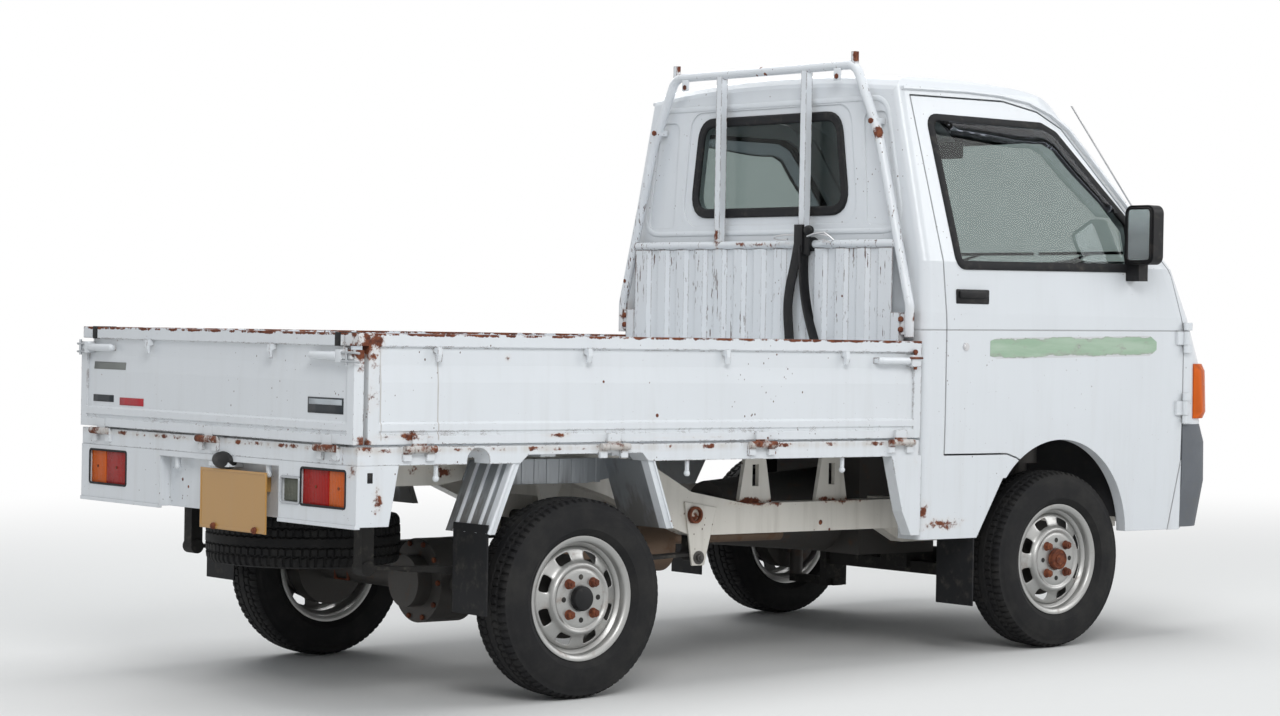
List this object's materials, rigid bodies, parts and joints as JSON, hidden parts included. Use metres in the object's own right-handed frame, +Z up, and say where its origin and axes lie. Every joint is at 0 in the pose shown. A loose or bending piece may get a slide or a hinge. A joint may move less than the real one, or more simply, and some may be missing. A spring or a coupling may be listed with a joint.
{
  "type": "kei truck",
  "caption": "Small cab-over flatbed truck with drop sides, a tailgate, a guard frame behind the cab, opening doors and steered front wheels.",
  "frame": {"origin": "on the ground below the middle of the truck, in length and in width", "axes": "+X to the front of the truck, +Y to its left, +Z up"},
  "size_m": [3.3056, 1.62, 1.7775],
  "materials": {
    "white_paint": "worn gloss paint",
    "dark_paint": "satin paint",
    "frame_paint": "old paint with rust",
    "chassis_black": "matt black paint",
    "wheel_paint": "silver paint",
    "plate_paint": "matt paint",
    "cast_metal": "dull",
    "exhaust_steel": "heat stained",
    "bare_metal": "bright",
    "tyre_rubber": "matt",
    "black_rubber": "matt",
    "grey_plastic": "matt grained",
    "black_plastic": "satin",
    "dash_plastic": "matt grained",
    "lamp_plastic": "clear ribbed",
    "tail_lens": "ribbed",
    "seat_vinyl": "grained vinyl",
    "clear_glass": "clear"
  },
  "bodies": {
    "truck": {"antenna": "bare_metal", "cab_floor": "dark_paint", "cab_shell": "white_paint", "cab_windows": "clear_glass", "chassis_frame": "frame_paint", "dashboard": "dash_plastic", "deck_floor": "white_paint", "drive_line": "cast_metal", "engine_block": "cast_metal", "exhaust": "exhaust_steel", "front_bumper": "grey_plastic", "front_lamps": "lamp_plastic", "front_suspension": "chassis_black", "fuel_tank": "chassis_black", "guard_frame": "white_paint", "guard_panel": "white_paint", "leaf_springs": "chassis_black", "mud_flaps": "black_rubber", "number_plate": "plate_paint", "rear_axle": "cast_metal", "rear_mudguards": "white_paint", "rear_valance": "white_paint", "seats": "seat_vinyl", "spare_wheel": "tyre_rubber", "steering_column": "black_plastic", "tail_lamps": "tail_lens", "wipers": "black_plastic"},
    "door_left": {"door_left": "white_paint", "door_glass_left": "clear_glass", "mirror_left": "black_plastic"},
    "door_right": {"door_right": "white_paint", "door_glass_right": "clear_glass", "mirror_right": "black_plastic"},
    "side_gate_left": {"side_gate_left": "white_paint"},
    "side_gate_right": {"side_gate_right": "white_paint"},
    "tailgate": {"tailgate": "white_paint"},
    "knuckle_left": {"knuckle_left": "cast_metal"},
    "knuckle_right": {"knuckle_right": "cast_metal"},
    "steering_wheel": {"steering_wheel": "black_plastic"},
    "wheel_front_left": {"tyre_front_left": "tyre_rubber", "rim_front_left": "wheel_paint"},
    "wheel_front_right": {"tyre_front_right": "tyre_rubber", "rim_front_right": "wheel_paint"},
    "wheel_rear_left": {"tyre_rear_left": "tyre_rubber", "rim_rear_left": "wheel_paint"},
    "wheel_rear_right": {"tyre_rear_right": "tyre_rubber", "rim_rear_right": "wheel_paint"}
  },
  "joints": [
    {"name": "door_left_swing", "type": "hinge", "parent": "truck", "child": "door_left", "pos_m": [1.43868, 0.7085, 0.74596], "axis": [-0.023, 0, -0.9997], "range_deg": [0, 65]},
    {"name": "door_right_swing", "type": "hinge", "parent": "truck", "child": "door_right", "pos_m": [1.43868, -0.7085, 0.74596], "axis": [0.023, 0, 0.9997], "range_deg": [0, 65]},
    {"name": "side_gate_left_drop", "type": "hinge", "parent": "truck", "child": "side_gate_left", "pos_m": [-0.64331, 0.7095, 0.6619], "axis": [-0.9997, 0, 0.023], "range_deg": [0, 170]},
    {"name": "side_gate_right_drop", "type": "hinge", "parent": "truck", "child": "side_gate_right", "pos_m": [-0.64331, -0.7095, 0.6619], "axis": [0.9997, 0, -0.023], "range_deg": [0, 170]},
    {"name": "tailgate_drop", "type": "hinge", "parent": "truck", "child": "tailgate", "pos_m": [-1.64254, 0, 0.68493], "axis": [0, -1, 0], "range_deg": [0, 170]},
    {"name": "steer_right", "type": "hinge", "parent": "truck", "child": "knuckle_right", "pos_m": [0.90998, -0.505, 0.266], "axis": [0.023, 0, 0.9997], "range_deg": [-30, 30]},
    {"name": "steer_left", "type": "hinge", "parent": "truck", "child": "knuckle_left", "pos_m": [0.90998, 0.505, 0.266], "axis": [0.023, 0, 0.9997], "range_deg": [-30, 30]},
    {"name": "steering_wheel_turn", "type": "hinge", "parent": "truck", "child": "steering_wheel", "pos_m": [1.16674, -0.335, 1.07732], "axis": [-0.4333, 0, 0.9012], "range_deg": [-420, 420]},
    {"name": "wheel_front_left_spin", "type": "hinge", "parent": "knuckle_left", "child": "wheel_front_left", "pos_m": [0.90998, 0.607, 0.266], "axis": [0, 1, 0], "continuous": true},
    {"name": "wheel_rear_left_spin", "type": "hinge", "parent": "truck", "child": "wheel_rear_left", "pos_m": [-0.9005, 0.607, 0.26572], "axis": [0, 1, 0], "continuous": true},
    {"name": "wheel_front_right_spin", "type": "hinge", "parent": "knuckle_right", "child": "wheel_front_right", "pos_m": [0.90998, -0.607, 0.266], "axis": [0, 1, 0], "continuous": true},
    {"name": "wheel_rear_right_spin", "type": "hinge", "parent": "truck", "child": "wheel_rear_right", "pos_m": [-0.9005, -0.607, 0.26572], "axis": [0, 1, 0], "continuous": true}
  ],
  "couplings": [
    {"joint": "steer_left", "follows": "steer_right", "ratio": 1},
    {"joint": "steering_wheel_turn", "follows": "steer_right", "ratio": 14}
  ]
}
